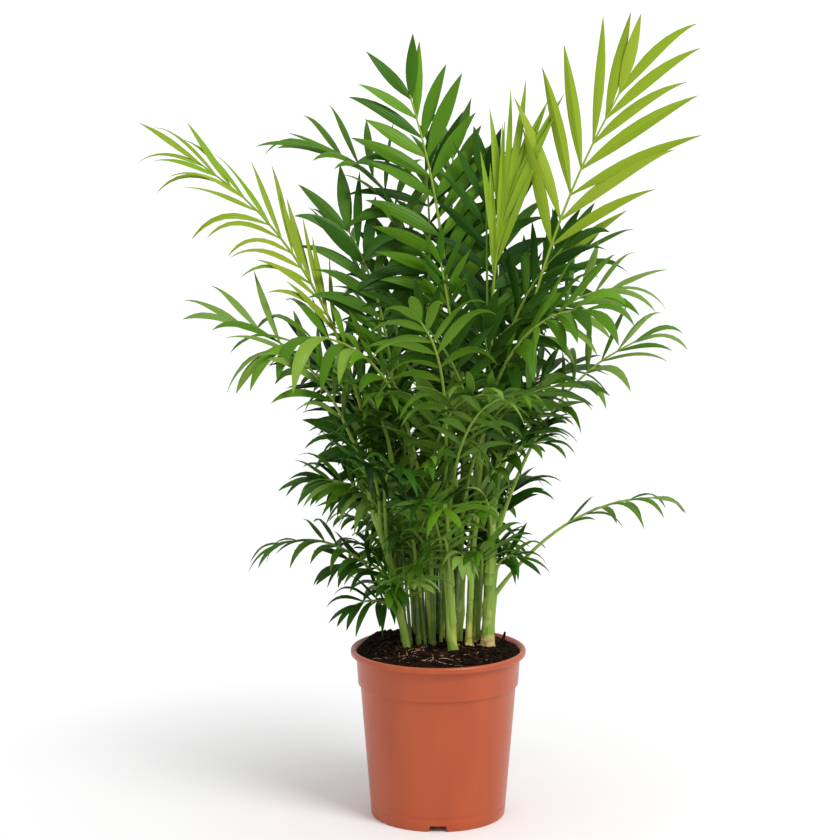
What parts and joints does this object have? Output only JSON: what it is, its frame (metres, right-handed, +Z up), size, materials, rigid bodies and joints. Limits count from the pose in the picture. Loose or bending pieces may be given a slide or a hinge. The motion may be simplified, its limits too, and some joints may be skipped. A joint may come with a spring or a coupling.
{
  "type": "potted parlour palm",
  "caption": "Parlour palm: a clump of slender green canes with arching feather fronds, rising from dark soil in a round terracotta-coloured plastic pot.",
  "frame": {"origin": "middle of the flat underside of the pot, on the surface that it stands on", "axes": "+Z up along the pot's axis, -Y towards the front that the plant is best seen from, +X to the right"},
  "size_m": [0.5345, 0.3674, 0.776],
  "materials": {
    "pot": "terracotta-coloured moulded plastic with a soft sheen",
    "soil": "moist dark peat with fibres and bark chips",
    "cane": "smooth green cane with pale leaf scars and tan sheaths at the foot",
    "leaf_young": "young yellow-green leaflets, satin",
    "leaf_fresh": "fresh mid-green leaflets, satin",
    "leaf_green": "green leaflets, satin",
    "leaf_deep": "dark green leaflets, satin"
  },
  "bodies": {
    "root": {"cane_a": "cane", "cane_b": "cane", "cane_c": "cane", "cane_d": "cane", "cane_e": "cane", "cane_f": "cane", "cane_g": "cane", "cane_h": "cane", "cane_i": "cane", "cane_j": "cane", "cane_k": "cane", "cane_l": "cane", "cane_m": "cane", "cane_n": "cane", "frond_back_left": "leaf_green", "frond_dark_core": "leaf_deep", "frond_dark_left": "leaf_deep", "frond_dark_middle": "leaf_green", "frond_dark_right": "leaf_deep", "frond_far_left": "leaf_young", "frond_fill_01": "leaf_green", "frond_fill_02": "leaf_green", "frond_fill_03": "leaf_green", "frond_fill_04": "leaf_green", "frond_fill_05": "leaf_green", "frond_fill_06": "leaf_green", "frond_fill_07": "leaf_green", "frond_fill_08": "leaf_green", "frond_fill_09": "leaf_green", "frond_fill_11": "leaf_green", "frond_fill_12": "leaf_green", "frond_fill_13": "leaf_green", "frond_fill_14": "leaf_green", "frond_fill_15": "leaf_green", "frond_fill_16": "leaf_deep", "frond_fill_17": "leaf_deep", "frond_fill_19": "leaf_deep", "frond_fill_20": "leaf_deep", "frond_fill_21": "leaf_deep", "frond_foot_left": "leaf_deep", "frond_foot_right": "leaf_green", "frond_front_fold": "leaf_green", "frond_front_high": "leaf_fresh", "frond_front_low": "leaf_fresh", "frond_heart": "leaf_fresh", "frond_low_left": "leaf_fresh", "frond_mid_left": "leaf_green", "frond_right": "leaf_green", "frond_right_back": "leaf_green", "frond_right_front": "leaf_fresh", "frond_right_low": "leaf_green", "frond_right_upper": "leaf_green", "frond_shade_left": "leaf_green", "frond_spear": "leaf_young", "frond_top_left": "leaf_fresh", "frond_top_right": "leaf_young", "pot": "pot", "soil": "soil"}
  },
  "joints": []
}
